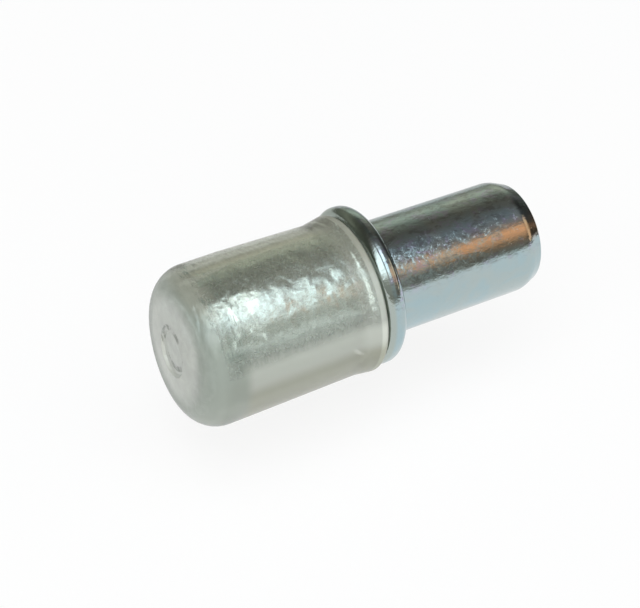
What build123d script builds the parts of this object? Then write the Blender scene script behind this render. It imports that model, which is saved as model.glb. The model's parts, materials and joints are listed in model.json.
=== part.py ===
from build123d import *
import os

# Shelf support pin: a plated steel pin with a mid collar, and a soft clear
# plastic sleeve pushed over its head. Millimetres, +Z up.
#
# The origin is the centre of the collar's seat face on the pin's axis. The
# stud points along +X into the cabinet side, and the sleeved head points
# along -X into the cabinet, where the shelf rests on it.

# Steel pin
stud_diameter = 5.0          # fits the 5 mm holes of a cabinet side
stud_length = 7.5            # from the seat face to the stud's end
stud_chamfer_length = 0.65   # lead-in, along the axis
stud_chamfer_depth = 0.26    # lead-in, off the radius
head_diameter = 5.0          # the end that the sleeve covers
head_length = 7.5            # from the collar's back face to the head's end
head_taper_length = 2.6      # taper that leads the head into the sleeve
head_taper_depth = 0.36      # the taper's fall, off the radius
head_end_rounding = 0.45
collar_diameter = 7.0
collar_thickness = 0.95
collar_round_share = 0.45    # rounding of the collar's rims, against its thickness
stud_root_fillet = 0.12      # where the stud leaves the collar
head_root_fillet = 0.30      # where the head leaves the collar
stud_end_rounding = 0.08     # between the stud's end face and its lead-in

# Plastic sleeve
sleeve_wall = 0.66           # side wall
sleeve_play = 0.27           # between the head and the bore, on the radius
sleeve_hang = 0.02           # left over the head where the sleeve hangs on it
sleeve_end_gap = 0.05        # between the head's end and the bottom of the bore
sleeve_end_wall = 0.75       # closed end, at its middle
sleeve_shoulder = 1.30       # rounding between the side and the closed end
sleeve_dome = 0.22           # how far the closed end stands out at its middle
bore_corner = 0.80           # rounding at the bottom of the bore
bore_lead_in = 0.36          # chamfer at the mouth, clear of the head's root fillet
lip_height = 0.09            # how far the mouth's lip stands out of the side
lip_length = 1.0             # the lip's taper, along the sleeve
lip_rounding = 0.16
gate_diameter = 2.0          # shallow moulding gate in the closed end
gate_depth = 0.12

stud_radius = stud_diameter / 2
head_radius = head_diameter / 2
collar_radius = collar_diameter / 2
collar_back = -collar_thickness
collar_rounding = collar_round_share * collar_thickness
head_end = collar_back - head_length
bore_radius = head_radius + sleeve_play
sleeve_radius = bore_radius + sleeve_wall
sleeve_sag = sleeve_play - sleeve_hang
bore_depth = head_length + sleeve_end_gap
sleeve_length = bore_depth + sleeve_end_wall

os.makedirs("parts", exist_ok=True)


def steel_pin():
    """The pin: stud, collar and head, turned as one piece."""
    with BuildPart() as pin:
        with BuildSketch(Plane.XZ):
            with BuildLine():
                Polyline(
                    (head_end, 0),
                    (head_end, head_radius - head_taper_depth),
                    (head_end + head_taper_length, head_radius),
                    (collar_back, head_radius),
                    (collar_back, collar_radius),
                    (0, collar_radius),
                    (0, stud_radius),
                    (stud_length - stud_chamfer_length, stud_radius),
                    (stud_length, stud_radius - stud_chamfer_depth),
                    (stud_length, 0),
                    close=True,
                )
            make_face()
        revolve(axis=Axis.X)
        rings = pin.edges().filter_by(GeomType.CIRCLE)
        rims = rings.filter_by(lambda ring: abs(ring.radius - collar_radius) < 1e-6)
        fillet(rims, collar_rounding)
        for at, radius, rounding in (
            (0, stud_radius, stud_root_fillet),
            (collar_back, head_radius, head_root_fillet),
        ):
            rings = pin.edges().filter_by(GeomType.CIRCLE)
            root = rings.filter_by(lambda ring: abs(ring.radius - radius) < 1e-6)
            fillet(root.filter_by_position(Axis.X, at - rounding / 4, at + rounding / 4), rounding)
        fillet(pin.edges().filter_by(GeomType.CIRCLE).group_by(Axis.X)[0], head_end_rounding)
        fillet(pin.edges().filter_by(GeomType.CIRCLE).group_by(Axis.X)[-1], stud_end_rounding)
    return pin


def plastic_sleeve():
    """The sleeve: a blind soft tube whose mouth bears on the collar.

    It hangs on the head, so its axis lies below the pin's. Its profile runs
    from the mouth, at zero, to the closed end.
    """
    profile_plane = Plane(
        origin=(collar_back, 0, -sleeve_sag), x_dir=(-1, 0, 0), z_dir=(0, 1, 0)
    )
    sleeve_axis = Axis((collar_back, 0, -sleeve_sag), (-1, 0, 0))
    side_end = sleeve_length - sleeve_dome
    with BuildPart() as sleeve:
        with BuildSketch(profile_plane) as outside:
            with BuildLine():
                Polyline(
                    (sleeve_length, 0),
                    (0, 0),
                    (0, sleeve_radius + lip_height),
                    (lip_length, sleeve_radius),
                    (side_end, sleeve_radius),
                )
                RadiusArc(
                    (side_end, sleeve_radius),
                    (sleeve_length, 0),
                    (sleeve_radius**2 + sleeve_dome**2) / (2 * sleeve_dome),
                )
            make_face()
            shoulder = outside.vertices().group_by(Axis.X)[-2]
            fillet(shoulder, sleeve_shoulder)
            lip = outside.vertices().sort_by(Axis.Y)[-1]
            fillet(lip, lip_rounding)
        revolve(axis=sleeve_axis)
        with BuildSketch(profile_plane) as bore:
            with BuildLine():
                Polyline(
                    (0, 0),
                    (0, bore_radius + bore_lead_in),
                    (bore_lead_in, bore_radius),
                    (bore_depth, bore_radius),
                    (bore_depth, 0),
                    close=True,
                )
            make_face()
            corner = bore.vertices().group_by(Axis.X)[-1].sort_by(Axis.Y)[-1]
            fillet(corner, bore_corner)
        revolve(axis=sleeve_axis, mode=Mode.SUBTRACT)
        with BuildSketch(Plane(profile_plane.origin, z_dir=(-1, 0, 0)).offset(sleeve_length - gate_depth)):
            Circle(gate_diameter / 2)
        extrude(amount=2 * gate_depth, mode=Mode.SUBTRACT)
    return sleeve


steel = steel_pin()
steel.part.label = "pin"
export_step(steel.part, "parts/pin.step")

plastic = plastic_sleeve()
plastic.part.label = "sleeve"
export_step(plastic.part, "parts/sleeve.step")

print(f"pin: {stud_length + collar_thickness + head_length:.2f} mm long, {steel.part.volume:.1f} mm3")
print(f"sleeve: {sleeve_length:.2f} mm long, {2 * sleeve_radius:.2f} mm across, {plastic.part.volume:.1f} mm3")
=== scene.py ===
"""Looks of a shelf support pin: the zinc plated pin and the clear sleeve on its head.

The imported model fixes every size. The two pieces are rebuilt here as fine meshes on the same
outlines, with the small irregularities of the real ones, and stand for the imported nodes.
"""

import json
import logging
import math
from dataclasses import dataclass
from enum import Enum
from typing import Callable, Optional, Sequence, Union

import bpy
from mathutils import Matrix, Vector


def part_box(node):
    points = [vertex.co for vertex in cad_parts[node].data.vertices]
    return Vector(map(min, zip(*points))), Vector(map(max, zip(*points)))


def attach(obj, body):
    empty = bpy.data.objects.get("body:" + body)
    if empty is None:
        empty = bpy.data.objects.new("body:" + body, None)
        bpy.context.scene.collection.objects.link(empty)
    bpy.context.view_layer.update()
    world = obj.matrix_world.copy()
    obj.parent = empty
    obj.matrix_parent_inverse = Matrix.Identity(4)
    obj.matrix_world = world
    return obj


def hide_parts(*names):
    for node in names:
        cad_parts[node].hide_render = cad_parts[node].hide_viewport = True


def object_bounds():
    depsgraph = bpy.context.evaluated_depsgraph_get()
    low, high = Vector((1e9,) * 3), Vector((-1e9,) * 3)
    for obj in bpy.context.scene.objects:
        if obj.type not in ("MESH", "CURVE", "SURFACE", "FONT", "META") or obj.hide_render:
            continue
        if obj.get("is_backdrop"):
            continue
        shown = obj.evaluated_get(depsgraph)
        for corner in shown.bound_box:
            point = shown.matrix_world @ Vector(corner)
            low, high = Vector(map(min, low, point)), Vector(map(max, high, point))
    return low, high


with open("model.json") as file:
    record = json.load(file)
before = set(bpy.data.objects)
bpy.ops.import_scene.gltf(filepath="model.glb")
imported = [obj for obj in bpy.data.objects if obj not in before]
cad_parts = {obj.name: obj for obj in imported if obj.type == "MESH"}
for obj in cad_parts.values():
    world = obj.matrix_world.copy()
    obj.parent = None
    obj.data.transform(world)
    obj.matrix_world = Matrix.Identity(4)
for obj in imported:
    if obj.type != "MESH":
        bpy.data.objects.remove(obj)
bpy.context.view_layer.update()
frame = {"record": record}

MM = 0.001
FULL_TURN = 2 * math.pi
log = logging.getLogger("shelf_pin")

Number = Union[int, float]
SocketKey = Union[int, str]
Point = tuple[float, float]
Span = tuple[float, float]
Triple = tuple[float, float, float]
Colour = Triple


# ---------------------------------------------------------------- outlines and lathed meshes


@dataclass(frozen=True)
class Corner:
    """A corner of a half outline: x along the axis, r off it, and the radius that rounds it."""

    x: float
    r: float
    rounding: float = 0.0


class Outline:
    """A half outline, drawn through rounded corners, that a lathe turns about its axis."""

    def __init__(self, corners: Sequence[Corner], pitch: float, arc_steps: int = 10) -> None:
        """Works out the outline's points.

        Args:
            corners: the corners in order, from one end on the axis to the other.
            pitch: the longest step along a straight stretch, in metres.
            arc_steps: steps in each rounded corner.
        """
        self.points: list[Point] = []
        for index, corner in enumerate(corners):
            inner = 0 < index < len(corners) - 1
            if inner and corner.rounding > 0:
                bend = self._rounded(corners[index - 1], corner, corners[index + 1], arc_steps)
            else:
                bend = [(corner.x, corner.r)]
            self._join(bend, pitch)

    def _join(self, bend: Sequence[Point], pitch: float) -> None:
        """Adds a bend after the straight stretch that leads to it.

        Args:
            bend: the bend's points, in order.
            pitch: the longest step along the stretch, in metres.
        """
        if self.points:
            start, end = Vector(self.points[-1]), Vector(bend[0])
            steps = max(1, math.ceil((end - start).length / pitch))
            for step in range(1, steps):
                self.points.append(tuple(start.lerp(end, step / steps)))
        self.points.extend(bend)

    @staticmethod
    def _rounded(before: Corner, at: Corner, after: Corner, steps: int) -> list[Point]:
        """Rounds one corner.

        Args:
            before: the corner before it.
            at: the corner to round.
            after: the corner after it.
            steps: steps along the arc.

        Returns:
            The arc's points, in order.
        """
        here = Vector((at.x, at.r))
        back = (Vector((before.x, before.r)) - here).normalized()
        ahead = (Vector((after.x, after.r)) - here).normalized()
        half = back.angle(ahead) / 2
        centre = here + (back + ahead).normalized() * (at.rounding / math.sin(half))
        start = here + back * (at.rounding / math.tan(half)) - centre
        end = here + ahead * (at.rounding / math.tan(half)) - centre
        sweep = start.angle_signed(end)
        points = []
        for step in range(steps + 1):
            turn = -sweep * step / steps
            x = start.x * math.cos(turn) - start.y * math.sin(turn)
            r = start.x * math.sin(turn) + start.y * math.cos(turn)
            points.append((centre.x + x, centre.y + r))
        return points


class Lathe:
    """Turns an outline about the X axis into a closed mesh."""

    def __init__(self, segments: int) -> None:
        """Keeps the number of steps round the axis."""
        self.segments = segments

    def turn(
        self, name: str, outline: Outline, shape: Optional[Callable[[Vector], Vector]] = None
    ) -> bpy.types.Object:
        """Makes the turned piece.

        Args:
            name: the piece's name.
            outline: its half outline, whose two ends lie on the axis.
            shape: moves each point of the true round form to its place on the real piece.

        Returns:
            The new object, smooth shaded.
        """
        first, *rings, last = outline.points
        corners = [Vector((first[0], 0, 0))]
        for x, r in rings:
            for segment in range(self.segments):
                angle = FULL_TURN * segment / self.segments
                corners.append(Vector((x, r * math.cos(angle), r * math.sin(angle))))
        corners.append(Vector((last[0], 0, 0)))
        if shape:
            corners = [shape(corner) for corner in corners]
        mesh = bpy.data.meshes.new(name)
        mesh.from_pydata([tuple(corner) for corner in corners], [], self._faces(len(rings)))
        mesh.shade_smooth()
        piece = bpy.data.objects.new(name, mesh)
        bpy.context.scene.collection.objects.link(piece)
        return piece

    def _faces(self, rings: int) -> list[tuple[int, ...]]:
        """Lists the faces between the rings, with a fan at each end.

        Args:
            rings: how many rings of points lie between the two ends.

        Returns:
            Each face's point numbers.
        """
        count = self.segments
        last = 1 + rings * count
        faces: list[tuple[int, ...]] = []
        for segment in range(count):
            following = (segment + 1) % count
            faces.append((0, 1 + following, 1 + segment))
            faces.append((last, last - count + segment, last - count + following))
            for ring in range(rings - 1):
                near = 1 + ring * count
                far = near + count
                faces.append((near + segment, near + following, far + following, far + segment))
        return faces


# ---------------------------------------------------------------- shader graphs


class Axis(Enum):
    """The axes of a place or a direction, named as they lie on the pin."""

    ALONG = "X"
    ACROSS = "Y"
    UP = "Z"


class Ending(Enum):
    """The output node that a tree ends in."""

    MATERIAL = "ShaderNodeOutputMaterial"
    WORLD = "ShaderNodeOutputWorld"


@dataclass(frozen=True)
class Noise:
    """Smooth noise: its blotches' size, its finer octaves and their harshness, warp and stretch."""

    size_mm: float
    octaves: float = 2.0
    harshness: float = 0.5
    warp: float = 0.0
    stretch: Triple = (1.0, 1.0, 1.0)


class Value:
    """An output of a node. Arithmetic on it adds Math nodes."""

    def __init__(self, bench: "Bench", made: bpy.types.Node, output: SocketKey) -> None:
        """Points at an output.

        Args:
            bench: the bench that the node is on.
            made: the node.
            output: the output's name or number.
        """
        self.bench = bench
        self.made = made
        self.output = output

    @property
    def socket(self) -> bpy.types.NodeSocket:
        """Finds the output's socket."""
        return self.made.outputs[self.output]

    def __add__(self, other: Union["Value", Number]) -> "Value":
        """Adds."""
        return self.bench.maths("ADD", self, other)

    def __radd__(self, other: Number) -> "Value":
        """Adds, reflected."""
        return self.bench.maths("ADD", other, self)

    def __sub__(self, other: Union["Value", Number]) -> "Value":
        """Subtracts."""
        return self.bench.maths("SUBTRACT", self, other)

    def __rsub__(self, other: Number) -> "Value":
        """Subtracts, reflected."""
        return self.bench.maths("SUBTRACT", other, self)

    def __mul__(self, other: Union["Value", Number]) -> "Value":
        """Multiplies."""
        return self.bench.maths("MULTIPLY", self, other)

    def __rmul__(self, other: Number) -> "Value":
        """Multiplies, reflected."""
        return self.bench.maths("MULTIPLY", other, self)

    def __truediv__(self, other: Union["Value", Number]) -> "Value":
        """Divides."""
        return self.bench.maths("DIVIDE", self, other)

    def __rtruediv__(self, other: Number) -> "Value":
        """Divides, reflected."""
        return self.bench.maths("DIVIDE", other, self)

    def at_least(self, other: Union["Value", Number]) -> "Value":
        """Takes the larger of the two."""
        return self.bench.maths("MAXIMUM", self, other)

    def step(self, span: Span, unit: float = 1.0) -> "Value":
        """Rises smoothly from 0 at a span's first end to 1 at its second.

        Args:
            span: the two ends, in either order.
            unit: how long one of the span's units is in metres, or 1 for plain numbers.

        Returns:
            The step, from 0 to 1.
        """
        ends = {"From Min": min(span) * unit, "From Max": max(span) * unit}
        if span[0] > span[1]:
            ends.update({"To Min": 1.0, "To Max": 0.0})
        settings = {"interpolation_type": "SMOOTHSTEP"}
        return self.bench.node("ShaderNodeMapRange", settings, {"Value": self, **ends}, "Result")


class Bench:
    """A node tree in the making."""

    def __init__(self, tree: bpy.types.NodeTree, ending: Ending = Ending.MATERIAL) -> None:
        """Empties a tree and starts work on it.

        Args:
            tree: the material's or world's node tree.
            ending: the output node that it ends in.
        """
        self.tree = tree
        self.ending = ending
        tree.nodes.clear()

    def node(
        self,
        kind: str,
        settings: Optional[dict[str, object]] = None,
        inputs: Optional[dict[SocketKey, object]] = None,
        output: SocketKey = 0,
    ) -> Value:
        """Adds a node, sets it and then fills its sockets.

        Args:
            kind: the node's type.
            settings: its properties; "stops" fills a colour ramp with (place, colour) pairs.
            inputs: socket name or number to a number, a vector, a plain colour or a link.
            output: the output that is meant.

        Returns:
            The chosen output.
        """
        made = self.tree.nodes.new(kind)
        for key, setting in (settings or {}).items():
            if key == "stops":
                self._fill_ramp(made.color_ramp, setting)
            else:
                setattr(made, key, setting)
        for key, content in (inputs or {}).items():
            socket = made.inputs[key]
            if isinstance(content, Value):
                self.tree.links.new(content.socket, socket)
            elif socket.type == "RGBA":
                socket.default_value = (*content, 1.0)
            else:
                socket.default_value = content
        return Value(self, made, output)

    @staticmethod
    def _fill_ramp(ramp: bpy.types.ColorRamp, stops: Sequence[tuple[float, Colour]]) -> None:
        """Sets a ramp's stops.

        Args:
            ramp: the ramp, with fewer stops than it needs.
            stops: each stop's place and colour, in order.
        """
        while len(ramp.elements) < len(stops):
            ramp.elements.new(1.0)
        for element, (place, colour) in zip(ramp.elements, stops):
            element.position = place
            element.color = (*colour, 1.0)

    def maths(self, operation: str, *terms: Union[Value, Number]) -> Value:
        """Adds a Math node on its terms, in order."""
        return self.node("ShaderNodeMath", {"operation": operation}, dict(enumerate(terms)))

    def blend(
        self, factor: Union[Value, Number], first: Union[Value, Colour], second: Union[Value, Colour]
    ) -> Value:
        """Mixes two colours by a factor."""
        return self.node("ShaderNodeMix", {"data_type": "RGBA"}, {0: factor, 6: first, 7: second}, 2)

    def mix_shaders(self, factor: Value, first: Value, second: Value) -> Value:
        """Mixes two shaders by a factor."""
        return self.node("ShaderNodeMixShader", None, {0: factor, 1: first, 2: second})

    def place(self) -> Value:
        """Gives the shaded point's place on the piece, in metres."""
        return self.node("ShaderNodeTexCoord", None, None, "Object")

    def split(self, place: Value, axis: Axis) -> Value:
        """Gives one axis of a place or a direction."""
        return self.node("ShaderNodeSeparateXYZ", None, {0: place}, axis.value)

    def stretched(self, place: Value, scale: Triple) -> Value:
        """Scales a place along each axis."""
        return self.node("ShaderNodeVectorMath", {"operation": "MULTIPLY"}, {0: place, 1: scale})

    def noise(self, place: Value, noise: Noise) -> Value:
        """Adds smooth noise.

        Args:
            place: where to read it.
            noise: what it is like.

        Returns:
            The noise, about 0.5 on average.
        """
        inputs = {
            "Vector": self.stretched(place, noise.stretch),
            "Scale": 1 / (noise.size_mm * MM),
            "Detail": noise.octaves,
            "Roughness": noise.harshness,
            "Distortion": noise.warp,
        }
        return self.node("ShaderNodeTexNoise", None, inputs)

    def bump(self, height: Value, depth_mm: float, normal: Optional[Value] = None) -> Value:
        """Turns a height into a bump.

        Args:
            height: the height, from 0 to 1.
            depth_mm: how far apart 0 and 1 lie, in millimetres.
            normal: the normal that is bent further, if not the mesh's own.

        Returns:
            The bent normal.
        """
        inputs: dict[SocketKey, object] = {"Height": height, "Distance": depth_mm * MM, "Strength": 1.0}
        if normal:
            inputs["Normal"] = normal
        return self.node("ShaderNodeBump", None, inputs, "Normal")

    def finish(self, surface: Value, volume: Optional[Value] = None) -> None:
        """Connects the shaders to the tree's output node.

        Args:
            surface: the surface's shader, or the world's background.
            volume: the shader of what fills it, if it has one.
        """
        shaders: dict[SocketKey, object] = {"Surface": surface}
        if volume:
            shaders["Volume"] = volume
        self.node(self.ending.value, None, shaders)


def new_bench(name: str) -> tuple[bpy.types.Material, Bench]:
    """Makes a material and a bench to build it on.

    Args:
        name: the material's name.

    Returns:
        The material and its bench.
    """
    material = bpy.data.materials.new(name)
    material.use_nodes = True
    return material, Bench(material.node_tree)


# ---------------------------------------------------------------- finishes


@dataclass(frozen=True)
class Flecks:
    """Blotches of a colour: their noise, the levels that they fade in between, their strength."""

    colour: Colour
    noise: Noise
    levels: Span
    strength: float

    def mask(self, value: Value) -> Value:
        """Turns the noise's value into how strongly the colour shows."""
        return value.step(self.levels) * self.strength


@dataclass(frozen=True)
class ZincPlate:
    """Bright zinc plate with a faint uneven blue passivation, rubbed bare under the sleeve, and painted
    reflections on the stud's upper side.
    """

    blue: Colour = (0.385, 0.500, 0.530)
    grey: Flecks = Flecks((0.42, 0.495, 0.495), Noise(1.4, 3.0, 0.6, 0.4), (0.35, 0.65), 1.0)
    # Lavender flecks on the stud's upper side: partly uneven passivation, partly painted glints of the
    # window.
    violet_tint_and_glints: Flecks = Flecks(
        (0.46, 0.43, 0.60), Noise(0.44, 3.0, 0.7, 0.6, (0.7, 1.0, 1.0)), (0.50, 0.66), 0.55
    )
    # Dark flecks on the stud's upper side: partly uneven plate, partly painted shade of the dim room
    # that it mirrors.
    dark_tone_and_shade: Flecks = Flecks(
        (0.19, 0.20, 0.20), Noise(0.30, 4.0, 0.7, 0.3, (0.55, 1.0, 1.0)), (0.52, 0.36), 0.5
    )
    # Painted reflection: warm blotches along the band of the stud's upper side that mirrors a warm
    # light, more of them towards the stud's end.
    warm_reflection: Flecks = Flecks((0.50, 0.42, 0.31), Noise(0.49, 4.0, 0.7, 0.3), (0.60, 0.80), 0.9)
    warm_reflection_low_mm: Span = (1.0, 1.4)
    warm_reflection_high_mm: Span = (2.1, 1.7)
    warm_reflection_growth: float = 50.0
    # Painted shade: a darker, greener tone on the collar's side towards the head, beside the sleeve's
    # mouth.
    collar_side_shade: Colour = (0.41, 0.465, 0.435)
    collar_side_shade_mm: Span = (-0.55, -0.72)
    bare_steel: Colour = (0.84, 0.93, 0.97)
    rubbed_mm: Span = (-0.9, -1.0)
    upper_mm: Span = (0.5, 1.1)
    gloss: float = 0.05
    dull: float = 0.30
    rubbed_gloss: float = 0.20
    spots: Noise = Noise(0.20, 4.0, 0.75, 0.0, (0.7, 1.0, 1.0))
    spot_levels: Span = (0.46, 0.74)
    dents: Noise = Noise(0.34, 3.0, 0.62, 0.8, (0.5, 1.0, 1.0))
    dent_depth_mm: float = 0.009
    folds: Noise = Noise(0.80, 1.5, 0.5, 0.4)
    fold_depth_mm: float = 0.115
    grain: Noise = Noise(0.12, 3.0, 0.7, 0.0, (0.6, 1.0, 1.0))
    grain_depth_mm: float = 0.0042
    rubbed_grain_depth_mm: float = 0.006

    def material(self) -> bpy.types.Material:
        """Builds the plate.

        Returns:
            The material.
        """
        material, bench = new_bench("zinc_plate")
        place = bench.place()
        rubbed = bench.split(place, Axis.ALONG).step(self.rubbed_mm, MM)
        surface = bench.node(
            "ShaderNodeBsdfPrincipled",
            None,
            {
                "Base Color": bench.blend(rubbed, self.colour(bench, place, rubbed), self.bare_steel),
                "Metallic": 1.0,
                "Roughness": self.roughness(bench, place, rubbed),
                "Normal": self.relief(bench, place, rubbed),
            },
        )
        bench.finish(surface)
        return material

    def colour(self, bench: Bench, place: Value, rubbed: Value) -> Value:
        """Lays the passivation, with flecks on the upper side of the stud that are partly passivation
        and partly painted glints and shade, and blotches there that paint a warm reflection.

        Args:
            bench: the plate's bench.
            place: the shaded point's place.
            rubbed: 1 on the head, 0 off it.

        Returns:
            The plate's colour off the head.
        """
        along, height = bench.split(place, Axis.ALONG), bench.split(place, Axis.UP)
        upper = height.step(self.upper_mm, MM) * (1 - rubbed)
        sheen = self.grey.mask(bench.noise(place, self.grey.noise))
        colour = bench.blend(sheen, self.blue, self.grey.colour)
        for flecks in (self.violet_tint_and_glints, self.dark_tone_and_shade):
            mask = flecks.mask(bench.noise(place, flecks.noise)) * upper
            colour = bench.blend(mask, colour, flecks.colour)
        # Painted shade on the collar's side towards the head.
        colour = bench.blend(along.step(self.collar_side_shade_mm, MM), colour, self.collar_side_shade)
        # Painted reflection: warm blotches in a band on the stud's upper side.
        band = height.step(self.warm_reflection_low_mm, MM) * height.step(self.warm_reflection_high_mm, MM)
        warm_blotches = bench.noise(place, self.warm_reflection.noise) + self.warm_reflection_growth * along
        return bench.blend(self.warm_reflection.mask(warm_blotches) * band * upper, colour, self.warm_reflection.colour)

    def roughness(self, bench: Bench, place: Value, rubbed: Value) -> Value:
        """Makes small dull spots on the gloss, and a duller head.

        Args:
            bench: the plate's bench.
            place: the shaded point's place.
            rubbed: 1 on the head, 0 off it.

        Returns:
            The plate's roughness.
        """
        spots = bench.noise(place, self.spots).step(self.spot_levels)
        return self.gloss + (self.dull - self.gloss) * spots + (self.rubbed_gloss - self.gloss) * rubbed

    def relief(self, bench: Bench, place: Value, rubbed: Value) -> Value:
        """Dents and grains the plate, more strongly on the head.

        Args:
            bench: the plate's bench.
            place: the shaded point's place.
            rubbed: 1 on the head, 0 off it.

        Returns:
            The bent normal.
        """
        normal = bench.bump(bench.noise(place, self.dents), self.dent_depth_mm)
        normal = bench.bump(bench.noise(place, self.folds) * rubbed, self.fold_depth_mm, normal)
        grain = bench.noise(place, self.grain)
        normal = bench.bump(grain, self.grain_depth_mm, normal)
        return bench.bump(grain * rubbed, self.rubbed_grain_depth_mm, normal)


@dataclass(frozen=True)
class SleeveMasks:
    """What the sleeve's colour, milkiness and relief share.

    The first three are places in metres, the rings are noise, and the rest are masks from 0 to 1.
    """

    along: Value
    height: Value
    radius: Value
    inside: Value
    tip: Value
    rings: Value
    marks: Value


@dataclass(frozen=True)
class ClearPlastic:
    """Clear soft plastic with a faint milky olive cast, rippled down its bore."""

    clear: Colour = (0.96, 0.98, 0.95)
    tint: Colour = (0.74, 0.76, 0.68)
    tint_density: float = 560.0
    refraction: float = 1.47
    gloss: float = 0.05
    milk_roughness: float = 0.35
    milk: Colour = (0.55, 0.575, 0.52)
    # Painted shade: a darker milk on the sleeve's underside.
    under_shade_milk: Colour = (0.37, 0.38, 0.305)
    under_shade_milk_mm: Span = (-0.2, -1.0)
    shoulder_milk: Colour = (0.34, 0.375, 0.33)
    shoulder_mm: Span = (-7.1, -7.7)
    # Painted shade: an olive darkening of the milk along the sleeve's top.
    top_shade_milk: Colour = (0.43, 0.425, 0.35)
    top_shade_mm: Span = (2.0, 2.9)
    top_shade_strength: float = 0.8
    # Painted light: a paler milk on the tip's end face.
    lit_end_milk: Colour = (0.62, 0.63, 0.58)
    lit_end_mm: Span = (-8.6, -8.9)
    lit_end_radius_mm: Span = (2.7, 1.7)
    milkiness: float = 0.15
    under_milkiness: float = 0.50
    under_flare_milkiness: float = 0.10
    under_mm: Span = (1.1, 0.2)
    tip_milkiness: float = 0.55
    tip_mm: Span = (-7.4, -8.6)
    flare_milkiness: float = 0.30
    flare_mm: Span = (-2.4, -1.7)
    rim_milkiness: float = 0.55
    rim_mm: Span = (-1.34, -1.24)
    bore_mm: Span = (3.1, 3.0)
    ripples: Noise = Noise(0.40, 3.0, 0.6, 0.6, (1.0, 0.6, 0.6))
    ripple_depth_mm: float = 0.008
    outer_ripple: float = 0.1
    rings: Noise = Noise(0.40, 4.0, 0.65, 0.5, (2.4, 0.7, 0.7))
    streak_levels: Span = (0.3, 0.7)
    streaks: float = 0.22
    tip_calm: float = 0.65
    marks: Flecks = Flecks(
        (0.17, 0.22, 0.19), Noise(0.40, 3.0, 0.6, 0.3, (3.4, 0.8, 0.8)), (0.52, 0.66), 0.85
    )
    marks_from_mm: Span = (-6.7, -7.2)
    marks_to_mm: Span = (-8.5, -8.1)
    marks_above_mm: Span = (0.7, 1.2)
    mark_milkiness: float = 0.55
    # The gate's dark broken ring: partly its mark, partly painted shade in its groove.
    gate_mark_and_shade: Colour = (0.10, 0.11, 0.09)
    gate_inner_mm: Span = (0.72, 0.86)
    gate_outer_mm: Span = (1.06, 0.98)
    gate_levels: Span = (0.42, 0.60)
    gate_strength: float = 0.75

    def material(self) -> bpy.types.Material:
        """Builds the plastic.

        Returns:
            The material.
        """
        material, bench = new_bench("clear_plastic")
        place = bench.place()
        masks = self.masks(bench, place)
        ripples = bench.noise(place, self.ripples)
        depth = self.outer_ripple + (1 - self.outer_ripple) * masks.inside
        normal = bench.bump(ripples * depth, self.ripple_depth_mm)
        clear = bench.node(
            "ShaderNodeBsdfPrincipled",
            None,
            {
                "Base Color": self.clear,
                "Roughness": self.gloss,
                "IOR": self.refraction,
                "Transmission Weight": 1.0,
                "Normal": normal,
            },
        )
        milky = bench.node(
            "ShaderNodeBsdfPrincipled",
            None,
            {
                "Base Color": self.milk_colour(bench, masks),
                "Roughness": self.milk_roughness,
                "IOR": self.refraction,
                "Normal": normal,
            },
        )
        tint = {"Color": self.tint, "Density": self.tint_density}
        volume = bench.node("ShaderNodeVolumeAbsorption", None, tint)
        bench.finish(bench.mix_shaders(self.cloud(masks), clear, milky), volume)
        return material

    def masks(self, bench: Bench, place: Value) -> SleeveMasks:
        """Works out what the plastic's parts share.

        Args:
            bench: the plastic's bench.
            place: the shaded point's place.

        Returns:
            The places and the masks.
        """
        along, height = bench.split(place, Axis.ALONG), bench.split(place, Axis.UP)
        off_axis = bench.stretched(place, (0.0, 1.0, 1.0))
        radius = bench.node("ShaderNodeVectorMath", {"operation": "LENGTH"}, {0: off_axis}, "Value")
        ringed = along.step(self.marks_from_mm, MM) * along.step(self.marks_to_mm, MM)
        marks = bench.noise(place, self.marks.noise).step(self.marks.levels)
        return SleeveMasks(
            along=along,
            height=height,
            radius=radius,
            inside=radius.step(self.bore_mm, MM),
            tip=along.step(self.tip_mm, MM),
            rings=bench.noise(place, self.rings),
            marks=marks * ringed * height.step(self.marks_above_mm, MM),
        )

    def cloud(self, masks: SleeveMasks) -> Value:
        """Works out how milky the plastic is.

        Args:
            masks: the sleeve's places and masks.

        Returns:
            The milkiness, from 0 to 1.
        """
        flare = masks.along.step(self.flare_mm, MM)
        rim = masks.along.step(self.rim_mm, MM) * (1 - masks.inside)
        under = masks.height.step(self.under_mm, MM)
        cloud = self.milkiness + (self.tip_milkiness - self.milkiness) * masks.tip
        cloud = cloud + (self.flare_milkiness - self.milkiness) * flare
        # More milk on the underside, where its darker colour is painted shade.
        cloud = cloud.at_least((self.under_milkiness + self.under_flare_milkiness * flare) * under)
        cloud = cloud + (self.rim_milkiness - self.flare_milkiness) * rim
        streaks = masks.rings.step(self.streak_levels) - 0.5
        cloud = cloud + self.streaks * masks.inside * (1 - self.tip_calm * masks.tip) * streaks
        return cloud.at_least(masks.marks * self.mark_milkiness)

    def milk_colour(self, bench: Bench, masks: SleeveMasks) -> Value:
        """Colours the milk: painted shade, olive above and dark below; painted light on the pale end
        face; its marks; and the gate's mark, darkened further as painted shade in its groove.

        Args:
            bench: the plastic's bench.
            masks: the sleeve's places and masks.

        Returns:
            The milk's colour.
        """
        # The end face, whose paler milk is painted light.
        face = masks.along.step(self.lit_end_mm, MM) * masks.radius.step(self.lit_end_radius_mm, MM)
        # The gate's ring, partly its mark and partly painted shade in its groove.
        gate = masks.radius.step(self.gate_inner_mm, MM) * masks.radius.step(self.gate_outer_mm, MM)
        broken = masks.rings.step(self.gate_levels) * self.gate_strength
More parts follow.
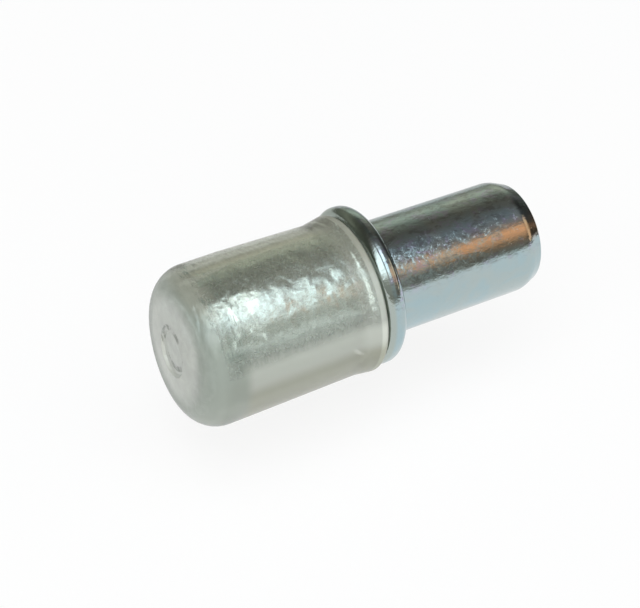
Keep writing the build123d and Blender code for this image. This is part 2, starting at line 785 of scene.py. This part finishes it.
        # Darker milk below as painted shade, a darker shoulder, olive painted shade on top, painted
        # light on the end face, the marks, and the gate's ring with its painted shade.
        milk = bench.blend(masks.height.step(self.under_shade_milk_mm, MM), self.milk, self.under_shade_milk)
        for mask, colour in (
            (masks.along.step(self.shoulder_mm, MM), self.shoulder_milk),
            (masks.height.step(self.top_shade_mm, MM) * self.top_shade_strength, self.top_shade_milk),
            (face, self.lit_end_milk),
            (masks.marks * self.marks.strength, self.marks.colour),
            (gate * masks.tip * broken, self.gate_mark_and_shade),
        ):
            milk = bench.blend(mask, milk, colour)
        return milk


@dataclass(frozen=True)
class PaleFloor:
    """A matt white floor, with painted shade that darkens it well behind the part, and nearer behind it
    in what metal and glass mirror.
    """

    white: Colour = (0.90, 0.90, 0.90)
    # Painted shade: the dim colour that the floor takes on far behind the part, and nearer behind it
    # where it is mirrored.
    far: Colour = (0.34, 0.345, 0.285)
    far_mm: Span = (100.0, 230.0)
    # Painted shade in reflections: where, and how strongly, the mirrored floor darkens.
    mirrored_shade_mm: Span = (8.0, 30.0)
    mirrored_shade: float = 0.7
    glow: Colour = (1.0, 1.0, 1.0)
    lift: float = 0.12
    mirrored_lift: float = 0.76
    seen_lift: float = 0.85

    def material(self) -> bpy.types.Material:
        """Builds the floor's white, which is lifted where it is seen or mirrored.

        What the camera sees of it keeps a faint shadow.

        Returns:
            The material.
        """
        material, bench = new_bench("pale_floor")
        back = bench.split(bench.place(), Axis.ACROSS)
        seen, glossy, through = (
            bench.node("ShaderNodeLightPath", None, None, f"Is {kind} Ray")
            for kind in ("Camera", "Glossy", "Transmission")
        )
        mirrored = glossy.at_least(through) * (1 - seen)
        # Painted shade: the floor darkens behind the part, much nearer in what metal and glass mirror.
        mirrored_shade_mask = back.step(self.mirrored_shade_mm, MM) * mirrored * self.mirrored_shade
        behind = back.step(self.far_mm, MM).at_least(mirrored_shade_mask)
        lit = bench.node(
            "ShaderNodeBsdfPrincipled",
            None,
            {
                "Base Color": bench.blend(behind, self.white, self.far),
                "Roughness": 1.0,
                "Specular IOR Level": 0.0,
            },
        )
        glow = bench.node("ShaderNodeEmission", None, {"Color": self.glow, "Strength": 1.0})
        share = self.lift + (self.mirrored_lift - self.lift) * mirrored * (1 - behind)
        share = share + (self.seen_lift - self.lift) * seen
        bench.finish(bench.mix_shaders(share, lit, glow))
        return material


@dataclass(frozen=True)
class Panel:
    """A panel of the room: its colour, its strength and the spans over which its sides fade.

    Spans along are of the direction's share along the pin, from -1 to 1. Spans of turn are in
    half turns about the pin: 0 is level in front, 0.5 straight up and 1 level behind.
    """

    colour: Colour
    strength: float
    along: tuple[Span, ...]
    turn: tuple[Span, ...] = ()

    def mask(self, along: Value, turn: Value) -> Value:
        """Works out where the panel shows.

        Args:
            along: the direction's share along the pin.
            turn: its turn about the pin.

        Returns:
            How strongly the panel shows.
        """
        sides = [along.step(span) for span in self.along] + [turn.step(span) for span in self.turn]
        mask = sides[0]
        for side in sides[1:]:
            mask = mask * side
        return mask * self.strength


@dataclass(frozen=True)
class DimRoom:
    """A dim room banded by turn about the pin, with a wide soft window in front and overhead.

    The window shows again, narrower, past the sleeve's tip.
    """

    bands: tuple[tuple[float, Colour], ...] = (
        (0.00, (0.84, 0.86, 0.82)),
        (0.02, (0.46, 0.45, 0.40)),
        (0.04, (0.22, 0.20, 0.17)),
        (0.12, (0.24, 0.21, 0.17)),
        (0.165, (0.66, 0.46, 0.33)),
        (0.24, (1.20, 0.74, 0.48)),
        (0.32, (0.35, 0.31, 0.30)),
        (0.44, (0.24, 0.24, 0.25)),
        (0.545, (0.17, 0.155, 0.14)),
        (0.645, (0.145, 0.125, 0.10)),
        (0.75, (0.30, 0.29, 0.23)),
        (0.85, (0.66, 0.66, 0.52)),
        (1.00, (0.31, 0.31, 0.26)),
    )
    stud_end: Panel = Panel((0.03, 0.03, 0.03), 0.8, ((0.60, 0.85),))
    door: Panel = Panel(
        (1.30, 1.00, 0.72), 0.8, ((0.72, 0.78), (0.92, 0.86)), ((0.02, 0.07), (0.42, 0.32))
    )
    tip_end: Panel = Panel((0.14, 0.14, 0.11), 0.8, ((-0.62, -0.80),), ((0.30, 0.38),))
    wall: Panel = Panel((0.42, 0.44, 0.41), 0.9, ((0.47, 0.42),), ((0.02, 0.08), (0.40, 0.28)))
    shade: Colour = (0.05, 0.06, 0.05)
    shade_strength: float = 0.65
    shade_turn: Span = (0.50, 0.58)
    shade_along: Span = (0.418, 0.400)
    behind_turn: Span = (0.76, 0.86)
    behind_along: Span = (0.30, 0.15)
    window: Panel = Panel(
        (0.86, 0.94, 1.0), 1.0, ((0.418, 0.400), (0.03, 0.13)), ((0.16, 0.28), (0.505, 0.385))
    )
    glimpse_along: tuple[Span, Span] = ((-0.06, -0.16), (-1.03, -0.93))
    window_strength: float = 2.5

    def build(self) -> bpy.types.World:
        """Builds the room.

        Returns:
            The world.
        """
        world = bpy.data.worlds.new("room")
        world.use_nodes = True
        bench = Bench(world.node_tree, Ending.WORLD)
        towards = bench.node("ShaderNodeTexCoord", None, None, "Generated")
        along, up = bench.split(towards, Axis.ALONG), bench.split(towards, Axis.UP)
        front = 0 - bench.split(towards, Axis.ACROSS)
        turn = bench.maths("ARCTAN2", up, front) / math.pi
        colour = bench.node("ShaderNodeValToRGB", {"stops": self.bands}, {0: turn}, "Color")
        for panel in (self.stud_end, self.door, self.tip_end, self.wall):
            colour = bench.blend(panel.mask(along, turn), colour, panel.colour)
        behind = turn.step(self.behind_turn)
        beside = along.step(self.shade_along) * (1 - behind) + along.step(self.behind_along) * behind
        shade = turn.step(self.shade_turn) * beside * self.shade_strength
        colour = bench.blend(shade, colour, self.shade)
        glimpse = Panel(self.window.colour, self.window.strength, self.glimpse_along, self.window.turn)
        lit = self.window.mask(along, turn) + glimpse.mask(along, turn)
        colour = bench.blend(lit, colour, self.window.colour)
        strength = 1.0 + (self.window_strength - 1.0) * lit
        bench.finish(bench.node("ShaderNodeBackground", None, {"Color": colour, "Strength": strength}))
        return world


# ---------------------------------------------------------------- the pin


@dataclass
class SteelPin:
    """The pin: stud, collar and head in one piece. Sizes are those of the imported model."""

    stud_radius: float
    stud_length: float
    collar_radius: float
    collar_thickness: float
    head_end: float
    chamfer_length: float = 0.65 * MM
    chamfer_depth: float = 0.26 * MM
    chamfer_rounding: float = 1.2 * MM
    end_rounding: float = 0.10 * MM
    head_taper_length: float = 2.6 * MM
    head_taper_depth: float = 0.36 * MM
    head_end_rounding: float = 0.45 * MM
    head_taper_rounding: float = 3.0 * MM
    collar_rounding: float = 0.43 * MM
    stud_root_rounding: float = 0.12 * MM
    head_root_rounding: float = 0.45 * MM
    pitch: float = 0.12 * MM
    segments: int = 224

    @classmethod
    def from_frame(cls) -> "SteelPin":
        """Reads the pin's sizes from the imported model.

        Returns:
            The pin.
        """
        low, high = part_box("pin")
        stud = next(mount for mount in frame["record"]["mounts"] if mount["name"] == "stud")
        return cls(
            stud_radius=stud["dims"]["r_mm"] * MM,
            stud_length=high.x,
            collar_radius=high.z,
            collar_thickness=-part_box("sleeve")[1].x,
            head_end=low.x,
        )

    def outline(self) -> Outline:
        """Draws the pin's half outline, from the head's end to the stud's.

        Returns:
            The outline.
        """
        end_radius = self.stud_radius - self.chamfer_depth
        back = -self.collar_thickness
        corners = [
            Corner(self.head_end, 0),
            Corner(self.head_end, self.stud_radius - self.head_taper_depth, self.head_end_rounding),
            Corner(self.head_end + self.head_taper_length, self.stud_radius, self.head_taper_rounding),
            Corner(back, self.stud_radius, self.head_root_rounding),
            Corner(back, self.collar_radius, self.collar_rounding),
            Corner(0, self.collar_radius, self.collar_rounding),
            Corner(0, self.stud_radius, self.stud_root_rounding),
            Corner(self.stud_length - self.chamfer_length, self.stud_radius, self.chamfer_rounding),
            Corner(self.stud_length, end_radius, self.end_rounding),
            Corner(self.stud_length, 0),
        ]
        return Outline(corners, self.pitch)

    def build(self) -> bpy.types.Object:
        """Makes and dresses the pin.

        Returns:
            The plated pin.
        """
        piece = Lathe(self.segments).turn("plated_pin", self.outline())
        piece.data.materials.append(ZincPlate().material())
        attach(piece, "root")
        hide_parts("pin")
        return piece


# ---------------------------------------------------------------- the sleeve


@dataclass
class PlasticSleeve:
    """The sleeve: a blind soft tube that hangs a little low on the head and droops to its tip."""

    mouth: float
    tip: float
    side_radius: float
    sag: float
    head_end: float
    wall: float = 0.66 * MM
    end_gap: float = 0.05 * MM
    shoulder: float = 1.30 * MM
    dome: float = 0.22 * MM
    crown_rise: float = 0.35
    crown_radius: float = 0.55
    crown_rounding: float = 1.2 * MM
    swell: float = 0.04 * MM
    waist: float = 0.10 * MM
    waist_rounding: float = 1.5 * MM
    lip_height: float = 0.05 * MM
    lip_length: float = 1.0 * MM
    lip_rounding: float = 0.16 * MM
    bore_corner: float = 0.80 * MM
    bore_lead_in: float = 0.36 * MM
    bore_edge_rounding: float = 0.03 * MM
    gate_radius: float = 1.0 * MM
    gate_floor_radius: float = 0.90 * MM
    gate_depth: float = 0.12 * MM
    gate_rounding: float = 0.05 * MM
    gate_edge_rounding: float = 0.04 * MM
    droop: float = 0.02 * MM
    tip_drop: float = 0.17 * MM
    tip_lean: float = 0.20 * MM
    tip_reach: float = 3.2 * MM
    belly: float = 0.05 * MM
    mouth_rise: float = 0.05 * MM
    pitch: float = 0.12 * MM
    segments: int = 224

    @classmethod
    def from_frame(cls) -> "PlasticSleeve":
        """Reads the sleeve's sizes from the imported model.

        Returns:
            The sleeve.
        """
        low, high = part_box("sleeve")
        rest = next(mount for mount in frame["record"]["mounts"] if mount["name"] == "shelf_rest")
        return cls(
            mouth=high.x,
            tip=low.x,
            side_radius=rest["dims"]["r_mm"] * MM,
            sag=-rest["pos_m"][2],
            head_end=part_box("pin")[0].x,
        )

    def outline(self) -> Outline:
        """Draws the half outline, round the outside from the tip and back down the bore.

        Returns:
            The outline.
        """
        gate_floor = self.tip + self.gate_depth
        crown_x = self.tip + self.crown_rise * self.dome
        bore_radius = self.side_radius - self.wall
        bore_end = self.head_end - self.end_gap
        corners = [
            Corner(gate_floor, 0),
            Corner(gate_floor, self.gate_floor_radius, self.gate_rounding),
            Corner(self.tip, self.gate_radius, self.gate_edge_rounding),
            Corner(crown_x, self.crown_radius * self.side_radius, self.crown_rounding),
            Corner(self.tip + self.dome, self.side_radius + self.swell, self.shoulder),
            Corner(self.mouth - self.lip_length, self.side_radius - self.waist, self.waist_rounding),
            Corner(self.mouth, self.side_radius + self.lip_height, self.lip_rounding),
            Corner(self.mouth, bore_radius + self.bore_lead_in, self.bore_edge_rounding),
            Corner(self.mouth - self.bore_lead_in, bore_radius, self.bore_edge_rounding),
            Corner(bore_end, bore_radius, self.bore_corner),
            Corner(bore_end, 0),
        ]
        return Outline(corners, self.pitch)

    def hang(self, point: Vector) -> Vector:
        """Moves a point of the true round sleeve to where it hangs.

        Args:
            point: the point on a sleeve on the pin's axis.

        Returns:
            The point, lowered by the sag. The mouth is lowered less, the top of the tip and the
            underside more, and the end face leans back.
        """
        along = (self.mouth - point.x) / (self.mouth - self.tip)
        height = point.z / self.side_radius
        near_tip = max(0.0, 1 - (point.x - self.tip) / self.tip_reach)
        near_mouth = max(0.0, 1 - (self.mouth - point.x) / self.lip_length)
        drop = self.sag + self.droop * along + self.tip_drop * near_tip * max(0.0, height)
        drop += self.belly * max(0.0, -height) - self.mouth_rise * near_mouth
        return Vector((point.x + self.tip_lean * near_tip * height, point.y, point.z - drop))

    def build(self) -> bpy.types.Object:
        """Makes and dresses the sleeve.

        Returns:
            The clear sleeve.
        """
        piece = Lathe(self.segments).turn("clear_sleeve", self.outline(), self.hang)
        piece.data.materials.append(ClearPlastic().material())
        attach(piece, "root")
        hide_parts("sleeve")
        return piece


# ---------------------------------------------------------------- the studio


@dataclass(frozen=True)
class SoftLamp:
    """A square lamp that faces the part and that nothing mirrors."""

    name: str
    watts: float
    place: Triple
    size: float = 0.3

    def hang(self) -> None:
        """Hangs the lamp in the scene."""
        data = bpy.data.lights.new(self.name, "AREA")
        data.size = self.size
        data.energy = self.watts
        lamp = bpy.data.objects.new(self.name, data)
        lamp.location = self.place
        lamp.rotation_euler = lamp.location.to_track_quat("Z", "Y").to_euler()
        lamp.visible_glossy = False
        bpy.context.scene.collection.objects.link(lamp)


@dataclass
class Studio:
    """The floor, the light and the camera. Camera angles are in degrees, its lens in millimetres."""

    floor_drop: float = 3.2 * MM
    floor_size: float = 2.0
    camera_turn: float = 29.5
    camera_height: float = 37.4
    camera_distance: float = 72 * MM
    camera_aim: Triple = (-1.415 * MM, 1.570 * MM, -1.691 * MM)
    camera_reach: Span = (1 * MM, 10.0)
    lens: float = 92.8
    sensor_width: float = 36.0
    lamps: tuple[SoftLamp, ...] = (
        SoftLamp("ceiling", 0.66, (-0.10, -0.10, 0.40)),
        SoftLamp("front", 0.80, (-0.20, -0.34, 0.14)),
    )

    def floor(self) -> None:
        """Lays the floor a little below the part."""
        low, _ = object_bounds()
        place = (0, 0, low[2] - self.floor_drop)
        bpy.ops.mesh.primitive_plane_add(size=self.floor_size, location=place)
        plane = bpy.context.object
        plane.name = "floor"
        plane.data.materials.append(PaleFloor().material())
        plane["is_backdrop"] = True

    def camera(self) -> None:
        """Stands the camera where the part is looked at from."""
        turn, height = math.radians(self.camera_turn), math.radians(self.camera_height)
        forward = Vector(
            (math.cos(height) * math.sin(turn), math.cos(height) * math.cos(turn), -math.sin(height))
        )
        data = bpy.data.cameras.new("camera")
        data.lens = self.lens
        data.sensor_width = self.sensor_width
        data.clip_start, data.clip_end = self.camera_reach
        camera = bpy.data.objects.new("camera", data)
        camera.location = Vector(self.camera_aim) - forward * self.camera_distance
        camera.rotation_euler = forward.to_track_quat("-Z", "Y").to_euler()
        bpy.context.scene.collection.objects.link(camera)
        bpy.context.scene.camera = camera

    def build(self) -> None:
        """Sets the whole studio up."""
        self.floor()
        self.camera()
        bpy.context.scene.world = DimRoom().build()
        for lamp in self.lamps:
            lamp.hang()
        bpy.context.scene.view_settings.view_transform = "Standard"


def main() -> None:
    """Builds the studio and both pieces, and logs each piece's face count."""
    logging.basicConfig(level=logging.INFO, format="%(name)s: %(message)s")
    Studio().build()
    for maker in (SteelPin.from_frame(), PlasticSleeve.from_frame()):
        piece = maker.build()
        log.info("%s: %d faces", piece.name, len(piece.data.polygons))


if __name__ == "__main__":
    main()
